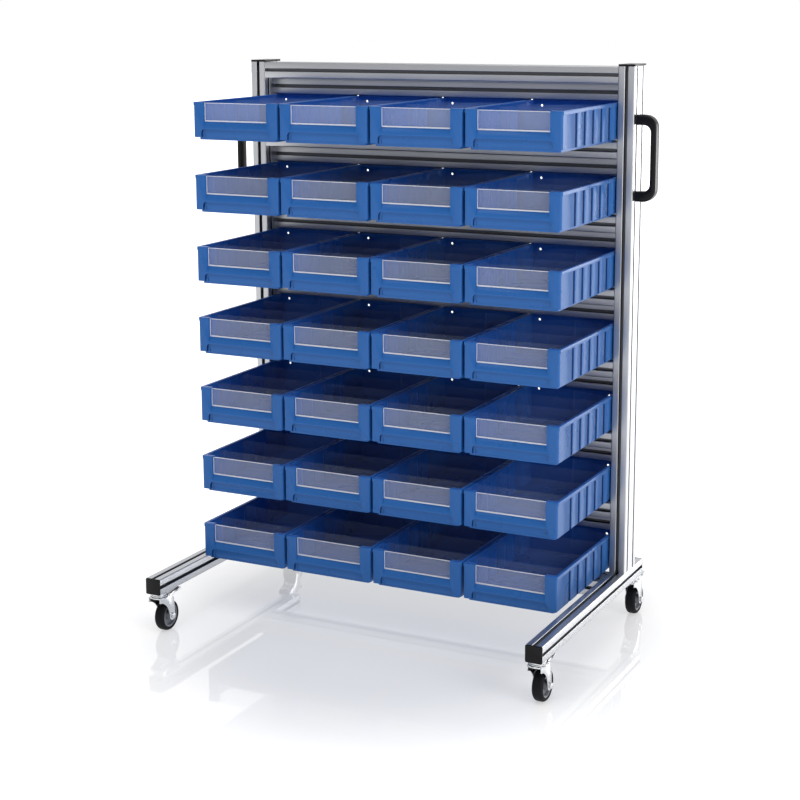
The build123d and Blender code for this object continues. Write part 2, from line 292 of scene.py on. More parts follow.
def settle(obj: Obj) -> None:
    """Turns an object's modifiers into plain mesh.

    Args:
        obj: The object.
    """
    graph = bpy.context.evaluated_depsgraph_get()
    graph.update()
    made = bpy.data.meshes.new_from_object(obj.evaluated_get(graph))
    old = obj.data
    obj.modifiers.clear()
    obj.data = made
    made.name = obj.name
    bpy.data.meshes.remove(old)


def smooth(obj: Obj, angle_deg: float = 35.0) -> None:
    """Shades an object smooth, with edges over an angle left sharp.

    Args:
        obj: The object to shade.
        angle_deg: The angle between faces from which an edge is sharp.
    """
    for polygon in obj.data.polygons:
        polygon.use_smooth = True
    obj.data.set_sharp_from_angle(angle=math.radians(angle_deg))


def soften(obj: Obj, width: float, segments: int = 2, angle_deg: float = 30.0) -> None:
    """Rounds an object's edges.

    Args:
        obj: The object.
        width: The rounding's width in millimetres.
        segments: Its steps.
        angle_deg: The angle from which an edge is rounded.
    """
    modifier = obj.modifiers.new("edge", "BEVEL")
    modifier.width = width * MM
    modifier.segments = segments
    modifier.limit_method = "ANGLE"
    modifier.angle_limit = math.radians(angle_deg)
    modifier.harden_normals = False
    settle(obj)


def combine(obj: Obj, other: Solid, operation: str) -> None:
    """Cuts a solid out of an object or fuses it to one.

    Args:
        obj: The object that changes.
        other: The solid, in millimetres.
        operation: The modifier's name for what is done.
    """
    tool = new_object(other, "tool")
    modifier = obj.modifiers.new("combine", "BOOLEAN")
    modifier.operation = operation
    modifier.solver = "EXACT"
    modifier.object = tool
    settle(obj)
    drop(tool)


def carve(obj: Obj, cutter: Solid) -> None:
    """Cuts a solid out of an object."""
    combine(obj, cutter, "DIFFERENCE")


def merge(obj: Obj, other: Solid) -> None:
    """Fuses a solid to an object."""
    combine(obj, other, "UNION")


def copy_to(master: Obj, name: str, offset: Point3) -> Obj:
    """Copies a master piece to its place, with the place in the mesh.

    Args:
        master: The piece to copy.
        name: The copy's name.
        offset: How far the copy lies from the master, in millimetres.

    Returns:
        The copy, whose object sits at the origin.
    """
    mesh = master.data.copy()
    mesh.name = name
    mesh.transform(Matrix.Translation(Vector(offset) * MM))
    return link(name, mesh)


def dress(obj: Obj, material: Material, body: str, nodes: Sequence[str] = ()) -> None:
    """Gives a piece its finish, its body and the nodes it stands for.

    Args:
        obj: The piece, which keeps its finishes if it already has several.
        material: Its material.
        body: The body that it rides on.
        nodes: The nodes that it replaces.
    """
    if len(obj.data.materials) < 2:
        obj.data.materials.clear()
        obj.data.materials.append(material)
    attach(obj, body)
    if nodes:
        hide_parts(*nodes)
    log.info("%s rides on %s", obj.name, body)


# Node helpers


def new_tree(name: str, kind: str, inputs: dict[str, str], outputs: dict[str, str]) -> Tree:
    """Starts a node group with its sockets.

    Args:
        name: The group's name.
        kind: The group's type.
        inputs: Its inputs, with the kind of each.
        outputs: Its outputs, with the kind of each.

    Returns:
        The group, with no nodes yet.
    """
    tree = bpy.data.node_groups.new(name, kind)
    for side, sockets in (("INPUT", inputs), ("OUTPUT", outputs)):
        for socket, sort in sockets.items():
            tree.interface.new_socket(name=socket, in_out=side, socket_type=f"NodeSocket{sort}")
    return tree


def fill(node: Node, values: dict[str, object]) -> None:
    """Sets the values of a node's inputs."""
    for name, value in values.items():
        node.inputs[name].default_value = value


def add(tree: Tree, kind: str, inputs: dict[str, object] | None = None, **settings: object) -> Node:
    """Adds a node to a tree.

    Args:
        tree: The tree.
        kind: The node's type.
        inputs: The values of its inputs.
        **settings: Its other settings.

    Returns:
        The node.
    """
    node = tree.nodes.new(kind)
    for name, value in settings.items():
        setattr(node, name, value)
    fill(node, inputs or {})
    return node


def wire(tree: Tree, *links: tuple[Node, str | int, Node, str | int]) -> None:
    """Links nodes, each link as (node, its output, next node, its input)."""
    for source, out, target, into in links:
        tree.links.new(source.outputs[out], target.inputs[into])


# Finishes


@dataclass(frozen=True)
class Mottled:
    """A surface whose tone and gloss change slowly between two values."""

    name: str
    dark: Point3
    light: Point3

    @staticmethod
    def mottle() -> Tree:
        """Slow changes of tone and gloss over a surface, with a fine grain.

        Returns:
            The group, with inputs Scale, Grain Scale, Dark and Light, and outputs Color, Mask and Height.
        """
        found = bpy.data.node_groups.get("surface_mottle")
        if found:
            return found
        inputs = {"Scale": "Float", "Grain Scale": "Float", "Dark": "Color", "Light": "Color"}
        outputs = {"Color": "Color", "Mask": "Float", "Height": "Float"}
        group = new_tree("surface_mottle", "ShaderNodeTree", inputs, outputs)
        start = add(group, "NodeGroupInput")
        end = add(group, "NodeGroupOutput")
        place = add(group, "ShaderNodeTexCoord")
        slow = add(group, "ShaderNodeTexNoise", {"Detail": 3.0})
        grain = add(group, "ShaderNodeTexNoise", {"Detail": 2.0})
        blend = add(group, "ShaderNodeMix", data_type="RGBA")
        wire(
            group,
            (place, "Object", slow, "Vector"),
            (place, "Object", grain, "Vector"),
            (start, "Scale", slow, "Scale"),
            (start, "Grain Scale", grain, "Scale"),
            (slow, "Fac", blend, "Factor"),
            (start, "Dark", blend, "A"),
            (start, "Light", blend, "B"),
            (blend, "Result", end, "Color"),
            (slow, "Fac", end, "Mask"),
            (grain, "Fac", end, "Height"),
        )
        return group

    def start(self, scale: float, grain_scale: float, rough: Point2) -> tuple[Material, Node]:
        """Makes the material up to its colour and gloss.

        Args:
            scale: The mottle's scale.
            grain_scale: The grain's scale.
            rough: The lowest and highest roughness.

        Returns:
            The material and its group node.
        """
        material = bpy.data.materials.new(self.name)
        material.use_nodes = True
        tree = material.node_tree
        shader = tree.nodes["Principled BSDF"]
        group = add(tree, "ShaderNodeGroup", node_tree=self.mottle())
        fill(group, {"Scale": scale, "Grain Scale": grain_scale})
        fill(group, {"Dark": (*self.dark, 1.0), "Light": (*self.light, 1.0)})
        spread = add(tree, "ShaderNodeMapRange", {"To Min": rough[0], "To Max": rough[1]})
        wire(
            tree,
            (group, "Color", shader, "Base Color"),
            (group, "Mask", spread, "Value"),
            (spread, "Result", shader, "Roughness"),
        )
        return material, group

    def build(self) -> Material:
        """The material, made once and shared by all pieces of this finish."""
        return bpy.data.materials.get(self.name) or self.make()


@dataclass(frozen=True)
class Finish(Mottled):
    """An opaque finish with slow mottle and fine grain."""

    rough_low: float
    rough_high: float
    metallic: float = 0.0
    scale: float = 6.0
    grain_scale: float = 900.0
    grain_depth: float = 0.0004
    bump: float = 0.05
    shine: float = 0.5

    def make(self) -> Material:
        """Makes the material.

        Returns:
            The new material.
        """
        material, group = self.start(self.scale, self.grain_scale, (self.rough_low, self.rough_high))
        tree = material.node_tree
        shader = tree.nodes["Principled BSDF"]
        bump = add(tree, "ShaderNodeBump", {"Strength": self.bump, "Distance": self.grain_depth})
        wire(tree, (group, "Height", bump, "Height"), (bump, "Normal", shader, "Normal"))
        fill(shader, {"Metallic": self.metallic, "Specular IOR Level": self.shine})
        return material


@dataclass(frozen=True)
class ClearFinish(Mottled):
    """Thin clear sheet plastic that covers more towards the edge of sight."""

    haze: float
    glance: float
    rough_low: float = 0.05
    rough_high: float = 0.12
    scale: float = 9.0
    grain_scale: float = 300.0
    blend: float = 0.3
    ior: float = 1.49

    def make(self) -> Material:
        """Makes the material.

        Returns:
            The new material.
        """
        material, _ = self.start(self.scale, self.grain_scale, (self.rough_low, self.rough_high))
        tree = material.node_tree
        shader = tree.nodes["Principled BSDF"]
        glance = add(tree, "ShaderNodeLayerWeight", {"Blend": self.blend})
        cover = add(tree, "ShaderNodeMapRange", {"To Min": self.haze, "To Max": self.glance})
        wire(tree, (glance, "Facing", cover, "Value"), (cover, "Result", shader, "Alpha"))
        fill(shader, {"IOR": self.ior})
        return material


ALUMINIUM = Finish(
    "anodised_aluminium", (0.53, 0.54, 0.56), (0.60, 0.61, 0.63), 0.37, 0.42,
    metallic=1.0, scale=5.0, grain_scale=3000.0, bump=0.0,
)
# Painted shade: a darker aluminium on the slot insides, standing in for the shade in the slots, not a
# different metal.
SLOT_PAINTED_SHADE = Finish(
    "slot_painted_shade_aluminium", (0.17, 0.175, 0.19), (0.23, 0.235, 0.25), 0.5, 0.6,
    metallic=1.0, scale=5.0, bump=0.0,
)
BIN_BLUE = Finish(
    "bin_blue_plastic", (0.016, 0.104, 0.345), (0.021, 0.120, 0.385), 0.24, 0.32,
    scale=8.0, grain_scale=2600.0, bump=0.015, shine=0.22,
)
# Painted light: a lighter blue on the bins' insides and inner flange tops, standing in for light that the
# lamps don't bring there, not a different plastic.
BIN_INSIDE_PAINTED_LIGHT = Finish(
    "bin_inside_painted_light_plastic", (0.026, 0.135, 0.50), (0.034, 0.155, 0.56), 0.24, 0.32,
    scale=8.0, grain_scale=2600.0, bump=0.015, shine=0.22,
)
# Painted shade: a navy on the grooves and the grip's edges, standing in for the shade in them, not a
# different plastic.
BIN_GROOVE_PAINTED_SHADE = Finish(
    "bin_groove_painted_shade", (0.005, 0.020, 0.088), (0.008, 0.027, 0.11), 0.55, 0.65,
    scale=8.0, grain_scale=2600.0, bump=0.015, shine=0.02,
)
BLACK = Finish(
    "satin_black", (0.005, 0.005, 0.006), (0.009, 0.009, 0.010), 0.18, 0.26,
    scale=30.0, grain_scale=2600.0, shine=0.15,
)
ZINC = Finish(
    "bright_zinc", (0.62, 0.64, 0.66), (0.78, 0.79, 0.80), 0.18, 0.32,
    metallic=1.0, scale=60.0, grain_scale=700.0,
)
SCREW = Finish(
    "dark_screw_steel", (0.10, 0.10, 0.11), (0.20, 0.20, 0.21), 0.3, 0.45,
    metallic=1.0, scale=90.0, bump=0.1,
)
TYRE = Finish(
    "grey_tyre_rubber", (0.006, 0.0065, 0.008), (0.011, 0.0115, 0.014), 0.5, 0.65,
    scale=40.0, grain_scale=1800.0, bump=0.1, shine=0.12,
)
RIM = Finish(
    "rim_grey_plastic", (0.13, 0.14, 0.16), (0.17, 0.18, 0.20), 0.32, 0.42,
    scale=40.0, grain_scale=1500.0, bump=0.1,
)
PANE = ClearFinish("clear_pane_plastic", (0.50, 0.60, 0.95), (0.62, 0.72, 1.0), 0.13, 0.24)
PANE_EDGE = ClearFinish("clear_edge_plastic", (0.80, 0.83, 0.92), (0.90, 0.92, 0.97), 0.55, 0.9)
DIVIDER = ClearFinish("clear_divider_plastic", (0.50, 0.60, 0.86), (0.64, 0.74, 0.95), 0.035, 0.18)


# Pieces that repeat


class NodeTools:
    """Geometry node trees for pieces that repeat."""

    @staticmethod
    def copies(name: str, inputs: dict[str, str]) -> tuple[Tree, Node, Node]:
        """Starts a tree that sets copies of a piece on points and gives them a finish.

        Args:
            name: The tree's name.
            inputs: Its inputs besides Geometry and Finish, with the kind of each.

        Returns:
            The tree, its input node, and the node that takes Points and Instance.
        """
        sockets = {"Geometry": "Geometry", **inputs, "Finish": "Material"}
        tree = new_tree(name, "GeometryNodeTree", sockets, {"Geometry": "Geometry"})
        start = add(tree, "NodeGroupInput")
        place = add(tree, "GeometryNodeInstanceOnPoints")
        real = add(tree, "GeometryNodeRealizeInstances")
        paint = add(tree, "GeometryNodeSetMaterial")
        wire(
            tree,
            (place, "Instances", real, "Geometry"),
            (real, "Geometry", paint, "Geometry"),
            (start, "Finish", paint, "Material"),
            (paint, "Geometry", add(tree, "NodeGroupOutput"), "Geometry"),
        )
        return tree, start, place

    @staticmethod
    def apply(obj: Obj, tree: Tree, values: dict[str, object]) -> None:
        """Runs a tree on an object and settles it to plain mesh.

        Args:
            obj: The object.
            tree: The tree.
            values: The value of each input by its name.
        """
        modifier = obj.modifiers.new(tree.name, "NODES")
        modifier.node_group = tree
        ids = {item.name: item.identifier for item in tree.interface.items_tree if item.in_out == "INPUT"}
        for name, value in values.items():
            modifier[ids[name]] = value
        settle(obj)

    @staticmethod
    def repeat_tree() -> Tree:
        """A tree that repeats a piece along a line.

        Returns:
            The tree, with inputs Count, Step and Finish.
        """
        found = bpy.data.node_groups.get("repeat_along_line")
        if found:
            return found
        tree, start, place = NodeTools.copies("repeat_along_line", {"Count": "Int", "Step": "Vector"})
        line = add(tree, "GeometryNodeMeshLine", mode="OFFSET")
        wire(
            tree,
            (start, "Count", line, "Count"),
            (start, "Step", line, "Offset"),
            (line, "Mesh", place, "Points"),
            (start, "Geometry", place, "Instance"),
        )
        return tree

    @staticmethod
    def screw_tree() -> Tree:
        """A tree that sets a screw head along X at each point of a mesh.

        Returns:
            The tree, with inputs Radius, Height and Finish.
        """
        tree, start, place = NodeTools.copies("screw_heads", {"Radius": "Float", "Height": "Float"})
        head = add(tree, "GeometryNodeMeshCylinder", {"Vertices": 16})
        turn = add(tree, "GeometryNodeTransform", {"Rotation": (0.0, math.pi / 2, 0.0)})
        wire(
            tree,
            (start, "Radius", head, "Radius"),
            (start, "Height", head, "Depth"),
            (head, "Mesh", turn, "Geometry"),
            (start, "Geometry", place, "Points"),
            (turn, "Geometry", place, "Instance"),
        )
        return tree


# Slotted profile frame


@dataclass(frozen=True)
class SlotSection:
    """The slotted profile's section, with rounded corners and broken slot lips."""

    mouth: float = 4.0
    lip: float = 4.5
    inner: float = 10.0
    floor: float = 5.0
    edge: float = 0.7
    corner: float = 2.5
    corner_steps: int = 4

    def side(self, cells: int) -> list[Point2]:
        """The points of one side with a slot in each cell, as (place along it, depth).

        Args:
            cells: How many cells the side has.

        Returns:
            The points from the side's start to the end of its far corner.
        """
        flank = [
            (self.mouth + self.edge, 0.0),
            (self.mouth, self.edge),
            (self.mouth, self.lip),
            (self.inner, self.lip),
            (self.floor, SLOT_DEPTH),
        ]
        half = cells * PROFILE / 2
        out: list[Point2] = []
        for cell in range(cells):
            middle = (cell + 0.5) * PROFILE - half
            out += [(middle - t, d) for t, d in flank]
            out += [(middle + t, d) for t, d in reversed(flank)]
        return out + arc((half - self.corner, self.corner), self.corner, -90, 0, self.corner_steps)

    def outline(self, cells: tuple[int, int]) -> list[Point2]:
        """The whole section about its middle.

        Args:
            cells: Square cells across and up.

        Returns:
            The section's points in millimetres.
        """
        out: list[Point2] = []
        for k in range(4):
            along, across = cells if k % 2 == 0 else cells[::-1]
            turn = math.radians(90 * k)
            cos, sin = round(math.cos(turn)), round(math.sin(turn))
            for x, depth in self.side(along):
                y = depth - across * PROFILE / 2
                out.append((cos * x - sin * y, sin * x + cos * y))
        return out


@dataclass(frozen=True)
class Bar:
    """One length of profile, or a column of equal ones a row apart."""

    name: str
    node: str
    cells: tuple[int, int]
    along: Along
    middle: Point2
    span: Point2
    count: int = 1


@dataclass
class ProfileFrame:
    """Posts, feet, staggered rails and base beam of slotted profile."""

    slot_edge: float = 0.9
    sharp_deg: float = 25.0
    end_facing: float = 0.5
    body: str = "frame"
    slot: str = "profile_aluminium"

    def bars(self) -> list[Bar]:
        """Every bar of the frame.

        Returns:
            The bars in the order that they are made.
        """
        out = []
        for side, sign in SIDES.items():
            x = sign * POST_X
            post = (x, POST_FRONT + PROFILE)
            out.append(Bar(f"post_{side}", f"upright_{side}", (1, 2), Along.Z, post, (FOOT_TOP, FRAME_TOP)))
            ends = (FOOT_FRONT_Y, FOOT_REAR_Y)
            out.append(Bar(f"foot_bar_{side}", f"foot_{side}", (1, 1), Along.Y, (x, FOOT_MIDDLE), ends))
        width = (-INNER_WIDTH / 2, INNER_WIDTH / 2)
        front, rear = (FRONT_RAIL_Y, FRONT_RAIL_Z), (REAR_RAIL_Y, REAR_RAIL_Z)
        out.append(Bar("base_cross_beam", "base_beam", (2, 1), Along.X, (BEAM_Y, FOOT_MIDDLE), width))
        out.append(Bar("front_rail_set", "front_rails", (1, 1), Along.X, front, width, ROWS))
        out.append(Bar("rear_rail_set", "rear_rails", (1, 1), Along.X, rear, width, ROWS))
        return out

    def paint_slot_shade(self, obj: Obj, bar: Bar) -> None:
        """Paints shade into the inside of a bar's slots, as a darker aluminium finish that stands in for the
        shade there.

        Args:
            obj: The bar's object.
            bar: What the bar is.
        """
        obj.data.materials.clear()
        obj.data.materials.append(ALUMINIUM.build())
        obj.data.materials.append(SLOT_PAINTED_SHADE.build())
        axis = bar.along.value
        across, up = [k for k in range(3) if k != axis]
        half_across, half_up = (cells * PROFILE / 2 for cells in bar.cells)
        for polygon in obj.data.polygons:
            a = polygon.center[across] / MM - bar.middle[0]
            b = polygon.center[up] / MM - bar.middle[1]
            b = (b + ROW_PITCH / 2) % ROW_PITCH - ROW_PITCH / 2
            depth = min(half_across - abs(a), half_up - abs(b))
            # Faces deep inside a slot, away from the bar's ends, get the painted shade.
            inside = depth > self.slot_edge and abs(polygon.normal[axis]) < self.end_facing
            polygon.material_index = 1 if inside else 0

    def build(self) -> None:
        """Makes and dresses every bar of the frame."""
        finish = ALUMINIUM.build()
        step = (0.0, 0.0, -ROW_PITCH * MM)
        for bar in self.bars():
            outline = [(a + bar.middle[0], b + bar.middle[1]) for a, b in SlotSection().outline(bar.cells)]
            obj = new_object(prism(outline, bar.along, *bar.span), bar.name)
            if bar.count > 1:
                tree = NodeTools.repeat_tree()
                NodeTools.apply(obj, tree, {"Count": bar.count, "Step": step, "Finish": finish})
            smooth(obj, self.sharp_deg)
            self.paint_slot_shade(obj, bar)
            dress(obj, finish, self.body, [bar.node])


@dataclass
class EndCaps:
    """Black caps on open profile ends and cover strips in the feet's slots."""

    top_thick: float = 5.0
    top_proud: float = 0.5
    top_corner: float = 3.0
    foot_thick: float = 3.0
    foot_corner: float = 3.5
    strip_width: float = 7.4
    strip_length: float = 75.0
    strip_thick: float = 3.0
    strip_corner: float = 1.0
    edge: float = 0.8

    def build(self) -> None:
        """Makes the caps as one piece."""
        solids = []
        half_x, half_y = PROFILE / 2 + self.top_proud, PROFILE + self.top_proud
        half, strip, y = PROFILE / 2, self.strip_width / 2, POST_FRONT + PROFILE
        for sign in SIDES.values():
            x = sign * POST_X
            top = rounded_box((x - half_x, y - half_y), (x + half_x, y + half_y), [self.top_corner] * 4)
            solids.append(prism(top, Along.Z, FRAME_TOP, FRAME_TOP + self.top_thick))
            end = rounded_box((x - half, FOOT_BOTTOM), (x + half, FOOT_TOP), [self.foot_corner] * 4)
            solids.append(prism(end, Along.Y, FOOT_FRONT_Y - self.foot_thick, FOOT_FRONT_Y))
            solids.append(prism(end, Along.Y, FOOT_REAR_Y, FOOT_REAR_Y + self.foot_thick))
            low, high = (x - strip, POST_FRONT - self.strip_length), (x + strip, POST_FRONT)
            cover = rounded_box(low, high, [self.strip_corner] * 4, steps=3)
            solids.append(prism(cover, Along.Z, FOOT_TOP - self.strip_thick, FOOT_TOP))
        obj = new_object(join(solids), "end_cap_set")
        soften(obj, self.edge)
        smooth(obj)
        dress(obj, BLACK.build(), "frame", ["end_caps"])


@dataclass
class FrameScrews:
    """Screws in the posts' and feet's outer slots."""

    radius: float = 3.4
    height: float = 4.0
    sharp_deg: float = 40.0

    def build(self) -> None:
        """Makes all the screw heads as one piece."""
        places: list[Point2] = []
        for row in range(ROWS):
            places.append((FRONT_RAIL_Y, FRONT_RAIL_Z - row * ROW_PITCH))
            places.append((REAR_RAIL_Y, REAR_RAIL_Z - row * ROW_PITCH))
        places += [(BEAM_Y + offset, FOOT_MIDDLE) for offset in (-PROFILE / 2, PROFILE / 2)]
        x = OUTER_X - SLOT_DEPTH + self.height / 2
        bm = bmesh.new()
        for sign in SIDES.values():
            for y, z in places:
                bm.verts.new((sign * x, y, z))
        obj = new_object(bm, "rail_screw_set")
        finish = SCREW.build()
        sizes = {"Radius": self.radius * MM, "Height": self.height * MM, "Finish": finish}
        NodeTools.apply(obj, NodeTools.screw_tree(), sizes)
        smooth(obj, self.sharp_deg)
        dress(obj, finish, "frame", ["frame_screws"])


@dataclass
class BowHandle:
    """A black bow handle on a post's outer face."""

    side: str
    height: float = 202.0
    drop: float = 110.0
    reach: float = 52.0
    depth: float = 28.0
    grip: float = 14.0
    leg: float = 24.0
    corner: float = 30.0
    corner_steps: int = 8
    inner_corner: float = 17.0
    inner_steps: int = 6
    edge: float = 4.5
    edge_steps: int = 4
    sharp_deg: float = 50.0

    def bow(self, reach: float, half: float, corner: float, steps: int) -> list[Point2]:
        """The points of a bow from the lower end on the post to the upper one.

        Args:
            reach: How far it stands out.
            half: Half its height.
            corner: Its corners' radius.
            steps: Chords in each corner.

        Returns:
            The points as (place out from the post, height).
        """
        return rounded_box((0.0, -half), (reach, half), [0.0, corner, corner, 0.0], steps)

    def build(self) -> None:
        """Makes the handle."""
        half, middle_y = self.height / 2, FRONT_RAIL_Y
        middle_z = FRAME_TOP - self.drop - half
        outer = self.bow(self.reach, half, self.corner, self.corner_steps)
        inner = self.bow(self.reach - self.grip, half - self.leg, self.inner_corner, self.inner_steps)
        sign = SIDES[self.side]
        outline = [(sign * (OUTER_X + a), middle_z + b) for a, b in outer + inner[::-1]]
        solid = prism(outline, Along.Y, middle_y - self.depth / 2, middle_y + self.depth / 2)
        obj = new_object(solid, f"bow_handle_{self.side}")
        soften(obj, self.edge, self.edge_steps, self.sharp_deg)
        smooth(obj, self.sharp_deg)
        dress(obj, BLACK.build(), "frame", [f"handle_{self.side}"])


@dataclass
class Castor:
    """A braked swivel castor at one corner of the trolley, made about its king bolt's axis."""

    end: str
    side: str
    trail: float = 30.0
    edge: float = 0.5
    edge_deg: float = 40.0

    # Fork
    fork_top: float = 95.7
    fork_half: float = 17.5
    fork_front: float = 20.0
    fork_rear: float = 24.0
    plate_rear: float = 26.0
    plate_corners: tuple[float, ...] = (9.0, 9.0, 4.0, 4.0)
    sheet: float = 2.5
    top_sheet: float = 4.0
    leg_drop: float = 1.0
    shoulder: float = 13.0
    sweep: float = 1.2
    sweep_steps: int = 8
    boss: float = 11.0
    waist_z: float = 60.0
    waist_taper: float = 1.0
    neck_drop: float = 14.0
    neck_taper: float = 3.0
    head_radius: float = 22.0
    head_edge: float = 1.0
    head_bevel: float = 1.2

    # Wheel and axle
    wheel_radius: float = 37.5
    wheel_width: float = 26.0
    tyre_seat: float = 28.5
    tyre_lip: float = 30.0
    lip_inset: float = 1.5
    tread_round: float = 8.0
    rim_section: tuple[Point2, ...] = (
        (4.05, -14.0), (10.0, -14.0), (11.0, -13.0), (12.5, -6.0),
        (23.0, -5.0), (24.5, -10.5), (25.5, -11.0), (28.4, -11.0),
    )
    axle_radius: float = 4.0
    axle_half: float = 17.6
    nut_radius: float = 7.5
    nut_end: float = 22.0

    # Brake pedal
    pivot_back: float = 18.0
    pivot_z: float = 82.7
    pin_radius: float = 3.0
    pin_half: float = 17.4
    reach: float = 75.0
    rise: float = 8.8
    eye: float = 5.5
    blade: float = 4.0
    tip_length: float = 1.5
    tip_drop: float = 1.0
    neck: float = 20.0
    lobe: float = 18.0
    lobe_gap: float = 10.0
    width: float = 28.0
    shoe: float = 14.0
    shoe_gap: float = 3.0
    shoe_run: float = 4.0
    shoe_drop: float = 2.0
    pedal_edge: float = 0.6

    @property
    def corner(self) -> str:
        """The corner's name."""
        return f"{self.end}_{self.side}"

    @property
    def hub(self) -> Point3:
        """The wheel's middle."""
        return (0.0, self.trail, self.wheel_radius)

    def put(self, obj: Obj, finish: Finish, body: str, node: str) -> None:
        """Moves a piece to the castor's corner and dresses it.

        Args:
            obj: The piece, made about the king bolt's axis.
            finish: Its finish.
            body: The kind of body that it rides on.
            node: The kind of node that it replaces.
        """
        place = Vector((SIDES[self.side] * POST_X, KING_Y[self.end], 0.0))
        obj.data.transform(Matrix.Translation(place * MM))
        dress(obj, finish.build(), f"{body}_{self.corner}", [f"{node}_{self.corner}"])

    def fork(self) -> Obj:
        """The pressed fork with its swivel head.

        Returns:
            The fork's object.
        """
        under, top = self.fork_top - self.top_sheet, self.fork_top - self.leg_drop
        shoulder = self.fork_top - self.shoulder
        run, fall = self.trail - self.boss + self.fork_front, shoulder - self.wheel_radius
        leg = [(-self.fork_front, top), (-self.fork_front, shoulder)]
        for i in range(1, self.sweep_steps + 1):
            turn = i / self.sweep_steps * math.pi / 2
            y = run * math.sin(turn) ** self.sweep - self.fork_front
            leg.append((y, shoulder - fall * (1 - math.cos(turn))))
        leg += arc((self.trail, self.wheel_radius), self.boss, 180, 360, 10)[1:]
        rear = self.trail + self.boss
        leg.append((rear - self.waist_taper, self.waist_z))
        leg.append((rear - self.neck_taper, self.fork_top - self.neck_drop))
        leg.append((self.fork_rear, top))
        low, high = (-self.fork_half, -self.fork_front), (self.fork_half, self.plate_rear)
        plate = rounded_box(low, high, self.plate_corners, steps=6)
        inset = self.head_radius - self.head_edge
        head = [
            (0.0, under),
            (inset, under),
            (self.head_radius, under + self.head_bevel),
            (self.head_radius, self.fork_top - self.head_bevel),
            (inset, self.fork_top),
            (0.0, self.fork_top),
        ]
        solids = [
            prism(leg, Along.X, self.fork_half - self.sheet, self.fork_half),
            prism(leg, Along.X, -self.fork_half, self.sheet - self.fork_half),
            prism(plate, Along.Z, under, self.fork_top),
            lathe(head, Along.Z, (0.0, 0.0, 0.0), steps=40),
        ]
        obj = new_object(join(solids), f"fork_{self.corner}")
        soften(obj, self.edge, 2, self.edge_deg)
        smooth(obj)
        return obj

    def tyre(self) -> Obj:
        """The tyre, rounded towards both sides.

        Returns:
            The tyre's object.
        """
        half, bend = self.wheel_width / 2, self.tread_round
        tread = [(self.tyre_seat, self.lip_inset - half), (self.tyre_lip, -half)]
        tread += arc((self.wheel_radius - bend, bend - half), bend, -90, 0, 6)
        obj = new_object(lathe(both_sides(tread), Along.X, self.hub, steps=64), f"tyre_{self.corner}")
        smooth(obj, self.edge_deg)
        return obj

    def rim(self) -> Obj:
        """The rim with its hub and thin web.

        Returns:
            The rim's object.
        """
        solid = lathe(both_sides(self.rim_section), Along.X, self.hub, steps=48)
        obj = new_object(solid, f"rim_{self.corner}")
        smooth(obj, self.edge_deg)
        return obj

    def axle(self) -> Obj:
        """The axle bolt with a hexagon at each end.

        Returns:
            The axle's object.
        """
        hexagon = arc((self.trail, self.wheel_radius), self.nut_radius, 30, 330, 5)
        solids = [
            pin(self.axle_radius, self.axle_half, self.hub, steps=24),
            prism(hexagon, Along.X, -self.nut_end, -self.fork_half),
            prism(hexagon, Along.X, self.fork_half, self.nut_end),
        ]
        obj = new_object(join(solids), f"axle_bolt_{self.corner}")
        soften(obj, self.edge, 2, self.edge_deg)
        smooth(obj)
        return obj

    def pedal(self) -> Obj:
        """The brake pedal on its pin, with the shoe under it and a lobe at each side of its tip.

        Returns:
            The pedal's object.
        """
        y0, z0 = self.pivot_back, self.pivot_z
        under, tip = z0 + self.eye - self.blade, z0 + self.eye + self.rise
        shoe_y, shoe_z = y0 + self.shoe, 2 * self.wheel_radius + self.shoe_gap
        end = [(self.reach - self.tip_length, tip), (self.reach, tip - self.tip_drop)]
        side = [(y0 - self.eye, shoe_z)] + arc((y0, z0), self.eye, 180, 90, 6) + end
        side.append((self.reach, tip - self.blade))
        side.append((shoe_y + self.shoe_run, under))
        side.append((shoe_y, under - self.shoe_drop))
        side.append((shoe_y, shoe_z))
        near = self.reach - self.lobe
        level = tip - self.rise / (self.reach - y0) * self.lobe
        pad = [(near, level - self.blade), (self.reach, tip - self.blade)] + end[::-1] + [(near, level)]
        solids = [
            prism(side, Along.X, -self.neck / 2, self.neck / 2),
            prism(pad, Along.X, self.lobe_gap / 2, self.width / 2),
            prism(pad, Along.X, -self.width / 2, -self.lobe_gap / 2),
            pin(self.pin_radius, self.pin_half, (0.0, y0, z0), steps=20),
        ]
        obj = new_object(join(solids), f"pedal_plate_{self.corner}")
        soften(obj, self.pedal_edge, 2, self.edge_deg)
        smooth(obj)
        return obj

    def build(self) -> None:
        """Makes and dresses the castor's pieces."""
        self.put(self.fork(), ZINC, "castor", "castor_fork")
        self.put(self.tyre(), TYRE, "wheel", "castor_tyre")
        self.put(self.rim(), RIM, "wheel", "castor_rim")
        self.put(self.axle(), ZINC, "castor", "castor_axle")
        self.put(self.pedal(), ZINC, "pedal", "brake_pedal")


@dataclass
class KingBolts:
    """The castors' fixed races and bolts under the feet."""

    section: tuple[Point2, ...] = (
        (0.0, 87.4), (7.5, 87.4), (7.5, 91.4), (3.9, 91.4),
        (3.9, 96.0), (19.0, 96.0), (20.0, 97.0), (20.0, 98.5),
        (17.5, 99.0), (17.5, 101.5), (19.5, 102.0), (19.5, 104.5),
        (19.0, 105.0), (3.9, 105.0), (3.9, 114.0), (0.0, 114.0),
    )

    def build(self) -> None:
        """Makes the four races as one piece."""
        places = [(sign * POST_X, y, 0.0) for sign in SIDES.values() for y in KING_Y.values()]
        races = [lathe(self.section, Along.Z, place, steps=40) for place in places]
        obj = new_object(join(races), "king_bolt_set")
        smooth(obj)
        dress(obj, ZINC.build(), "frame", ["castor_king_bolts"])


# Shelf bins


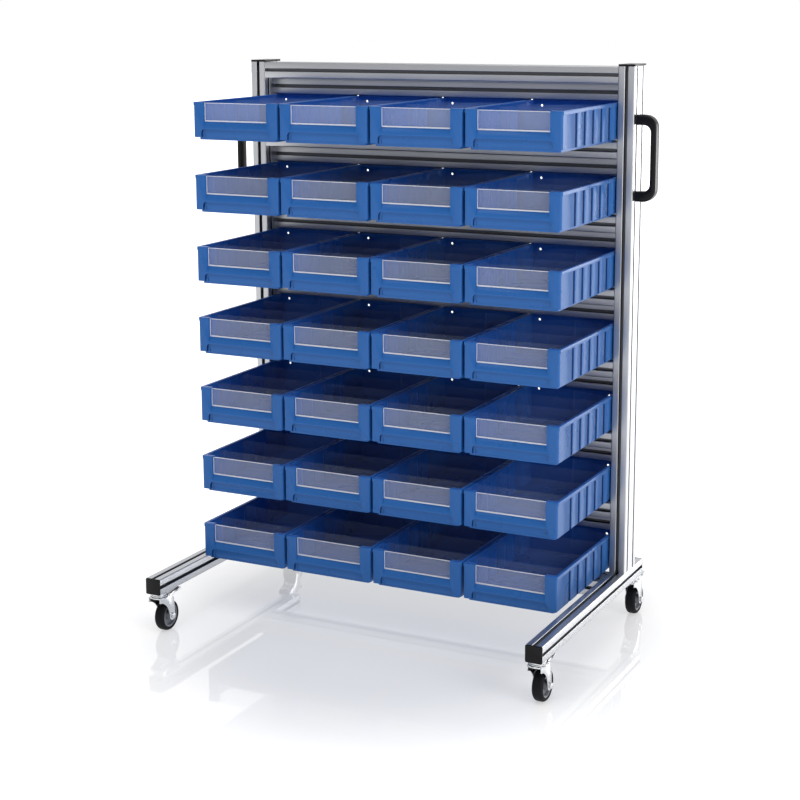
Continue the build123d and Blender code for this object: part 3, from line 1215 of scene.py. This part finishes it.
@dataclass
class ShelfBins:
    """Rows of blue shelf bins with clear panes and clear cross dividers."""

    width: float = 234.0
    length: float = 400.0
    height: float = 90.0
    reach: float = 338.0
    wall: float = 2.5
    corners: tuple[float, ...] = (5.0, 5.0, 4.0, 4.0)
    inside_corner: float = 3.0
    edge: float = 0.7
    edge_deg: float = 40.0
    overrun: float = 5.0
    overlap: float = 0.5
    sliver: float = 0.01
    paint_margin: float = 0.2
    paint_edge: float = 0.3
    grip_facing: float = -0.6

    # Rim, rear lip and foot
    rim_step: float = 1.5
    rim_height: float = 8.0
    flange: float = 3.0
    flange_thick: float = 3.0
    rear_lip: float = 1.7
    lip_inset: float = 1.0
    lip_width: float = 4.0
    lip_corner: float = 0.5
    seat_gap: float = 0.25
    foot_inset: float = 10.0
    foot_height: float = 6.5
    foot_corner: float = 6.0

    # Front with its sill and grip
    pillar: float = 30.0
    pillar_depth: float = 11.0
    sill_bottom: float = 31.0
    sill_top: float = 44.0
    setback: float = 7.0
    grip_width: float = 188.0
    grip_top: float = 26.0
    grip_depth: float = 6.0
    grip_corner: float = 9.0
    grip_slope: float = 4.0
    grip_inset: float = 6.0

    # Grooves outside, ribs inside and hang holes
    grooves: tuple[float, ...] = (82.0, 135.0, 188.0, 241.0, 294.0)
    groove_width: float = 12.0
    groove_depth: float = 1.0
    groove_low: float = 5.5
    rib_width: float = 6.0
    rib_depth: float = 1.2
    hole_radius: float = 3.0
    hole_edge: float = 25.0
    hole_drop: float = 13.0

    # Pane and dividers
    pane_fit: float = 0.3
    pane_drop: float = 1.5
    pane_thick: float = 2.0
    pane_corner: float = 1.0
    ring_corner: float = 1.5
    ring_width: float = 1.4
    ring_foot: float = 3.2
    ring_proud: float = 1.6
    dividers: tuple[float, ...] = (75.0, 185.0, 295.0)
    divider_fit: float = 0.3
    divider_drop: float = 5.0
    divider_half: float = 1.5
    divider_tab: float = 22.0
    divider_edge: float = 0.2
    sheet_deg: float = 30.0

    def __post_init__(self) -> None:
        """Works out the sizes that follow from the others."""
        self.half = self.width / 2
        self.wall_x = self.half - self.rim_step
        self.wall_y = self.length - self.rim_step
        self.inside_x = self.wall_x - self.wall
        self.back = self.wall_y - self.wall
        self.rim_z = self.height - self.rim_height
        self.floor_z = self.foot_height + self.wall

    def shell(self) -> Obj:
        """The bin's walls, rim and foot, with the inside hollow and ribbed.

        Returns:
            The shell's object, about the middle of its front.
        """
        inside = [self.inside_corner] * 4
        outer = rounded_box((-self.wall_x, 0.0), (self.wall_x, self.wall_y), self.corners, steps=6)
        body = new_object(prism(outer, Along.Z, self.foot_height, self.rim_z), "bin_master")
        rim = rounded_box((-self.half, 0.0), (self.half, self.length), self.corners, steps=6)
        merge(body, prism(rim, Along.Z, self.rim_z - self.sliver, self.height))
        lip_x = self.half - self.lip_inset
        low, high = (-lip_x, self.length - self.lip_width), (lip_x, self.length)
        lip = rounded_box(low, high, [self.lip_corner] * 4, steps=2)
        merge(body, prism(lip, Along.Z, self.height - self.overlap, self.height + self.rear_lip))
        foot_x, foot_y = self.half - self.foot_inset, self.wall_y - self.overlap
        foot = rounded_box((-foot_x, self.foot_inset), (foot_x, foot_y), [self.foot_corner] * 4, steps=4)
        merge(body, prism(foot, Along.Z, self.seat_gap, self.foot_height + self.sliver))
        room = rounded_box((-self.inside_x, self.pillar_depth), (self.inside_x, self.back), inside, steps=3)
        carve(body, prism(room, Along.Z, self.floor_z, self.height - self.flange_thick))
        merge(body, self.ribs())
        mouth_x, mouth_y = self.inside_x - self.flange, self.back - self.flange
        mouth = rounded_box((-mouth_x, self.pillar_depth + self.flange), (mouth_x, mouth_y), inside, steps=3)
        mouth_z = self.height - self.flange_thick - 2 * self.overlap
        carve(body, prism(mouth, Along.Z, mouth_z, self.height + self.overrun))
        return body

    def ribs(self) -> Solid:
        """The ribs on the inside of both side walls and of the back.

        Returns:
            The ribs as one mesh.
        """
        half, low = self.rib_width / 2, self.floor_z - self.overlap
        solids = []
        for y in self.grooves:
            for sign in SIDES.values():
                root, top = sign * (self.inside_x + self.overlap), sign * (self.inside_x - self.rib_depth)
                x0, x1 = sorted((root, top))
                solids.append(prism(rectangle((x0, y - half), (x1, y + half)), Along.Z, low, self.rim_z))
        rear = rectangle((-half, self.back - self.rib_depth), (half, self.back + self.overlap))
        solids.append(prism(rear, Along.Z, low, self.rim_z))
        return join(solids)

    def cut_front(self, body: Obj) -> None:
        """Cuts the pane's opening over the sill, and the grip under it.

        Args:
            body: The shell.
        """
        out, top = -self.overrun, self.height + self.overrun
        behind = self.pillar_depth + self.overrun
        opening = self.half - self.pillar
        window = [
            (out, self.sill_bottom),
            (0.0, self.sill_bottom),
            (self.setback, self.sill_top),
            (behind, self.sill_top),
            (behind, top),
            (out, top),
        ]
        carve(body, prism(window, Along.X, -opening, opening))
        grip = self.grip_width / 2
        radii = [0.0, 0.0, self.grip_corner, self.grip_corner]
        recess = rounded_box((-grip, out), (grip, self.grip_top), radii, steps=5)
        carve(body, prism(recess, Along.Y, out, self.grip_depth))
        slope_top = self.grip_top - self.grip_inset
        wedge = [
            (out, out),
            (out, slope_top),
            (self.grip_depth - 10 * self.sliver, slope_top),
            (self.grip_depth + self.grip_slope, out),
        ]
        carve(body, prism(wedge, Along.X, self.grip_inset - grip, grip - self.grip_inset))

    def cut_sides(self, body: Obj) -> None:
        """Cuts the grooves in both sides and the hang holes in the back.

        Args:
            body: The shell.
        """
        half = self.groove_width / 2
        slots = []
        for y in self.grooves:
            for sign in SIDES.values():
                floor = sign * (self.wall_x - self.groove_depth)
                out = sign * (self.wall_x + 2 * self.overlap)
                x0, x1 = sorted((floor, out))
                slot = rectangle((x0, y - half), (x1, y + half))
                slots.append(prism(slot, Along.Z, self.groove_low, self.rim_z))
        carve(body, join(slots))
        holes = []
        for sign in SIDES.values():
            centre = (sign * (self.half - self.hole_edge), self.height - self.hole_drop)
            ring = arc(centre, self.hole_radius, 0, 330, 11)
            holes.append(prism(ring, Along.Y, self.length - 2 * self.overrun, self.length + self.overrun))
        carve(body, join(holes))

    def paint(self, body: Obj) -> None:
        """Paints light and shade into the bin's colour: a lighter blue on the inside and the inner flange
        tops stands in for light, and navy in the grooves and on the grip's edges stands in for shade.

        Args:
            body: The bin.
        """
        for finish in (BIN_BLUE, BIN_GROOVE_PAINTED_SHADE, BIN_INSIDE_PAINTED_LIGHT):
            body.data.materials.append(finish.build())
        margin, edge = self.paint_margin, self.overlap
        grip, groove = self.grip_width / 2 + edge, self.groove_width / 2 + edge
        grip_back = self.grip_depth + self.grip_slope + edge
        groove_floor, groove_mouth = self.wall_x - self.groove_depth - margin, self.wall_x - self.paint_edge
        for polygon in body.data.polygons:
            x, y, z = (abs(polygon.center.x) / MM, polygon.center.y / MM, polygon.center.z / MM)
            # The inside and the inner flange tops get the lighter blue: painted light.
            inside_painted_light = x < self.inside_x + margin and self.pillar_depth < y < self.back + margin
            if inside_painted_light and z > self.floor_z - margin:
                polygon.material_index = 2
            # The grip's edges and the grooves' insides get the navy: painted shade.
            grip_painted_shade = x < grip and z < self.grip_top + edge and self.paint_edge < y < grip_back
            groove_painted_shade = groove_floor < x < groove_mouth and z > self.foot_height
            if grip_painted_shade and polygon.normal.y > self.grip_facing:
                polygon.material_index = 1
            if groove_painted_shade and any(abs(y - middle) < groove for middle in self.grooves):
                polygon.material_index = 1

    def tray(self) -> Obj:
        """One bin about the middle of its front, at the height that it rests on.

        Returns:
            The bin's object.
        """
        body = self.shell()
        self.cut_front(body)
        self.cut_sides(body)
        soften(body, self.edge, 2, self.edge_deg)
        smooth(body, self.edge_deg)
        self.paint(body)
        return body

    def pane(self) -> Obj:
        """One clear front pane.

        Returns:
            The pane's object.
        """
        half, high = self.half - self.pillar - self.pane_fit, self.height - self.pane_drop
        face = rounded_box((-half, self.sill_top), (half, high), [self.pane_corner] * 4, steps=3)
        solid = prism(face, Along.Y, self.setback, self.setback + self.pane_thick)
        sheet = new_object(solid, "pane_master")
        smooth(sheet, self.sheet_deg)
        return sheet

    def pane_edge(self) -> Obj:
        """The raised edge that frames one pane.

        Returns:
            The edge's object.
        """
        half, high = self.half - self.pillar - self.pane_fit, self.height - self.pane_drop
        outer = rounded_box((-half, self.sill_top), (half, high), [self.ring_corner] * 4, steps=3)
        solid = prism(outer, Along.Y, self.setback - self.ring_proud, self.setback)
        ring = new_object(solid, "pane_edge_master")
        low = (self.ring_width - half, self.sill_top + self.ring_foot)
        top = (half - self.ring_width, high - self.ring_width)
        inner = rounded_box(low, top, [self.pane_corner] * 4, steps=3)
        carve(ring, prism(inner, Along.Y, self.setback - self.overrun, self.setback + self.overrun))
        smooth(ring, self.sheet_deg)
        return ring

    def divider_set(self) -> Obj:
        """One bin's three clear cross dividers, thicker at both ends.

        Returns:
            The dividers' object.
        """
        half = self.inside_x - self.divider_fit
        tab, high = half - self.divider_tab, self.height - self.divider_drop
        solids = []
        for y in self.dividers:
            front, back = y - self.divider_half, y + self.divider_half
            left = [(-half, front), (-tab, front), (-tab, y)]
            right = [(-x, place) for x, place in reversed(left)]
            solids.append(prism(left + right + [(half, back), (-half, back)], Along.Z, self.floor_z, high))
        obj = new_object(join(solids), "divider_master")
        soften(obj, self.divider_edge, 1, self.edge_deg)
        smooth(obj, self.sheet_deg)
        return obj

    def build(self) -> None:
        """Makes every bin with its pane and dividers."""
        tray, blue = self.tray(), BIN_BLUE.build()
        clear_pieces = (
            (self.pane(), "pane", PANE.build()),
            (self.pane_edge(), "pane_edge", PANE_EDGE.build()),
            (self.divider_set(), "dividers", DIVIDER.build()),
        )
        for row in range(ROWS):
            z = FRAME_TOP - (row + 1) * ROW_PITCH
            for column in range(COLUMNS):
                place = f"r{row + 1}_c{column + 1}"
                offset = ((column - (COLUMNS - 1) / 2) * COLUMN_PITCH, POST_FRONT - self.reach, z)
                body = f"bin_{place}"
                dress(copy_to(tray, f"tray_{place}", offset), blue, body, [body])
                for master, kind, finish in clear_pieces:
                    dress(copy_to(master, f"{kind}_{place}", offset), finish, body)
        drop(tray)
        for master, _, _ in clear_pieces:
            drop(master)


# Studio


@dataclass(frozen=True)
class Lamp:
    """A soft lamp: its place, what it points at and its size in metres, and its power in watts."""

    name: str
    place: Point3
    target: Point3
    size: Point2
    power: float

    def build(self) -> None:
        """Adds the lamp, unseen by the camera."""
        data = bpy.data.lights.new(self.name, "AREA")
        data.shape = "RECTANGLE"
        data.size, data.size_y = self.size
        data.energy = self.power
        obj = bpy.data.objects.new(self.name, data)
        obj.location = self.place
        obj.rotation_euler = (Vector(self.target) - Vector(self.place)).to_track_quat("-Z", "Y").to_euler()
        obj.visible_camera = False
        bpy.context.scene.collection.objects.link(obj)


LAMPS = (
    Lamp("overhead_softbox", (0.2, -1.7, 4.1), (0.0, 0.0, 0.8), (3.2, 3.2), 60.0),
    Lamp("right_softbox", (4.2, -1.4, 2.2), (0.0, 0.0, 0.7), (2.4, 2.6), 72.0),
    Lamp("front_fill", (-2.2, -4.6, 2.4), (0.0, 0.0, 0.7), (2.6, 2.6), 8.0),
    Lamp("rear_right_softbox", (2.35, 3.4, 0.95), (0.47, 0.0, 0.9), (1.1, 1.7), 26.0),
)


@dataclass
class Studio:
    """Pale floor, soft lamps, white surroundings and the camera."""

    camera_place: Point3 = (1799.28, -3580.54, 1502.33)
    yaw: float = 0.4663
    pitch: float = 0.18309
    roll: float = 0.00417
    focal_px: float = 1697.15
    image_px: float = 800.0
    centre_row_px: float = 320.0
    sensor: float = 36.0
    far_clip: float = 200.0
    white: tuple[float, ...] = (1.0, 1.0, 1.0, 1.0)
    floor_size: float = 30000.0
    floor_tone: Point3 = (0.62, 0.62, 0.63)
    floor_rough: float = 0.03
    glow_near: float = 0.4
    glow_far: float = 1.15
    glow_low: float = 0.38
    glow_high: float = 1.0
    surround: float = 0.24
    mirrored: float = 0.24
    behind_start: float = -0.2
    behind_end: float = 0.7

    @staticmethod
    def ramp(tree: Tree, source: Point2, result: Point2) -> Node:
        """Adds a smooth change from one range of values to another."""
        ends = {"From Min": source[0], "From Max": source[1], "To Min": result[0], "To Max": result[1]}
        return add(tree, "ShaderNodeMapRange", ends, interpolation_type="SMOOTHSTEP")

    def floor(self) -> None:
        """Makes the pale glossy floor, which glows more with distance."""
        bm = bmesh.new()
        bmesh.ops.create_grid(bm, x_segments=1, y_segments=1, size=self.floor_size)
        obj = new_object(bm, "studio_floor")
        material = bpy.data.materials.new("studio_floor")
        material.use_nodes = True
        tree = material.node_tree
        shader = tree.nodes["Principled BSDF"]
        fill(shader, {"Base Color": (*self.floor_tone, 1.0), "Roughness": self.floor_rough})
        fill(shader, {"Emission Color": self.white})
        place = add(tree, "ShaderNodeTexCoord")
        far = add(tree, "ShaderNodeVectorMath", operation="LENGTH")
        glow = self.ramp(tree, (self.glow_near, self.glow_far), (self.glow_low, self.glow_high))
        wire(
            tree,
            (place, "Object", far, 0),
            (far, "Value", glow, "Value"),
            (glow, "Result", shader, "Emission Strength"),
        )
        obj.data.materials.append(material)

    def world(self) -> None:
        """Makes the surroundings: white to the camera, and brighter at the rear for mirrored rays."""
        world = bpy.data.worlds.new("studio_white")
        bpy.context.scene.world = world
        world.use_nodes = True
        tree = world.node_tree
        tree.nodes.clear()
        end = add(tree, "ShaderNodeOutputWorld")
        path = add(tree, "ShaderNodeLightPath")
        shade = add(tree, "ShaderNodeBackground", {"Color": self.white})
        place = add(tree, "ShaderNodeTexCoord")
        parts = add(tree, "ShaderNodeSeparateXYZ")
        behind = self.ramp(tree, (self.behind_start, self.behind_end), (self.mirrored, 1.0))
        mirrored = add(tree, "ShaderNodeMix", {"A": self.surround})
        seen = add(tree, "ShaderNodeMath", operation="MAXIMUM")
        level = add(tree, "ShaderNodeMix", {"B": 1.0})
        wire(
            tree,
            (place, "Generated", parts, "Vector"),
            (parts, "Y", behind, "Value"),
            (behind, "Result", mirrored, "B"),
            (path, "Is Glossy Ray", mirrored, "Factor"),
            (path, "Is Camera Ray", seen, 0),
            (path, "Is Transmission Ray", seen, 1),
            (seen, "Value", level, "Factor"),
            (mirrored, "Result", level, "A"),
            (level, "Result", shade, "Strength"),
            (shade, "Background", end, "Surface"),
        )

    def camera(self) -> None:
        """Sets the camera where the photograph was taken."""
        data = bpy.data.cameras.new("studio_camera")
        data.sensor_width = self.sensor
        data.sensor_fit = "HORIZONTAL"
        data.lens = self.focal_px / self.image_px * self.sensor
        data.shift_y = (self.centre_row_px - self.image_px / 2) / self.image_px
        data.clip_end = self.far_clip
        obj = bpy.data.objects.new("studio_camera", data)
        turn = Matrix.Rotation(self.yaw, 4, "Z") @ Matrix.Rotation(math.pi / 2 - self.pitch, 4, "X")
        turn = turn @ Matrix.Rotation(-self.roll, 4, "Z")
        obj.matrix_world = Matrix.Translation(Vector(self.camera_place) * MM) @ turn
        bpy.context.scene.collection.objects.link(obj)
        bpy.context.scene.camera = obj

    def build(self) -> None:
        """Makes the whole studio."""
        bpy.context.scene.view_settings.view_transform = "Standard"
        self.floor()
        self.world()
        for lamp in LAMPS:
            lamp.build()
        self.camera()


def main() -> None:
    """Builds the trolley's sub-assemblies in order, then the studio."""
    logging.basicConfig(level=logging.INFO, format="%(name)s: %(message)s")
    ProfileFrame().build()
    EndCaps().build()
    FrameScrews().build()
    for side in SIDES:
        BowHandle(side).build()
    for side in SIDES:
        for end in KING_Y:
            Castor(end, side).build()
    KingBolts().build()
    ShelfBins().build()
    Studio().build()


if __name__ == "__main__":
    main()
